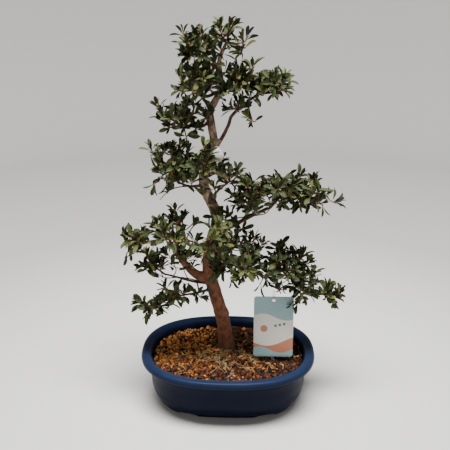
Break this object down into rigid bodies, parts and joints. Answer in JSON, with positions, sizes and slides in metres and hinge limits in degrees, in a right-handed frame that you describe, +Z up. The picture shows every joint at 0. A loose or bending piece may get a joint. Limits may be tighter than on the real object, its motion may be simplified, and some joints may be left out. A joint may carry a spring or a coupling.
{
  "type": "azalea bonsai in an oval pot",
  "caption": "Azalea bonsai with a winding, tapering trunk, spreading boughs and open pads of leaves, in an oval glazed pot of granular soil with a plain label card on a stake.",
  "frame": {"origin": "middle of the whole bonsai's bounding box, on the level that the pot's feet stand on", "axes": "+Z up; +X to the right, along the pot's long side; +Y to the back, along the pot's short side"},
  "size_m": [0.3074, 0.1838, 0.5204],
  "materials": {
    "pot_glaze": "gloss",
    "soil": "matte",
    "bark": "matte",
    "foliage": "satin",
    "wound_seal": "matte",
    "label_card": "satin",
    "label_stake": "gloss"
  },
  "bodies": {
    "root": {"bough_back_low": "bark", "bough_back_mid": "bark", "bough_back_upper": "bark", "bough_front_low": "bark", "bough_hang_sprig": "bark", "bough_left_under": "bark", "bough_left_upper": "bark", "bough_low_left": "bark", "bough_low_right": "bark", "bough_low_right_near": "bark", "bough_lowest_left": "bark", "bough_mid_front": "bark", "bough_mid_left": "bark", "bough_mid_right": "bark", "bough_mid_right_near": "bark", "bough_mid_sprig": "bark", "bough_top_left": "bark", "bough_upper_left": "bark", "bough_upper_right": "bark", "bough_upper_right_near": "bark", "bough_upper_sprig": "bark", "foliage_apex": "foliage", "foliage_back_low": "foliage", "foliage_back_mid": "foliage", "foliage_back_upper": "foliage", "foliage_front_low": "foliage", "foliage_hang_sprig": "foliage", "foliage_left_under": "foliage", "foliage_left_upper": "foliage", "foliage_low_left": "foliage", "foliage_low_right": "foliage", "foliage_low_right_near": "foliage", "foliage_lowest_left": "foliage", "foliage_mid_front": "foliage", "foliage_mid_left": "foliage", "foliage_mid_right": "foliage", "foliage_mid_right_near": "foliage", "foliage_mid_sprig": "foliage", "foliage_top_left": "foliage", "foliage_upper_left": "foliage", "foliage_upper_right": "foliage", "foliage_upper_right_near": "foliage", "foliage_upper_sprig": "foliage", "label_card": "label_card", "label_stake": "label_stake", "pot": "pot_glaze", "soil": "soil", "trunk": "bark", "wound_seal": "wound_seal"}
  },
  "joints": []
}
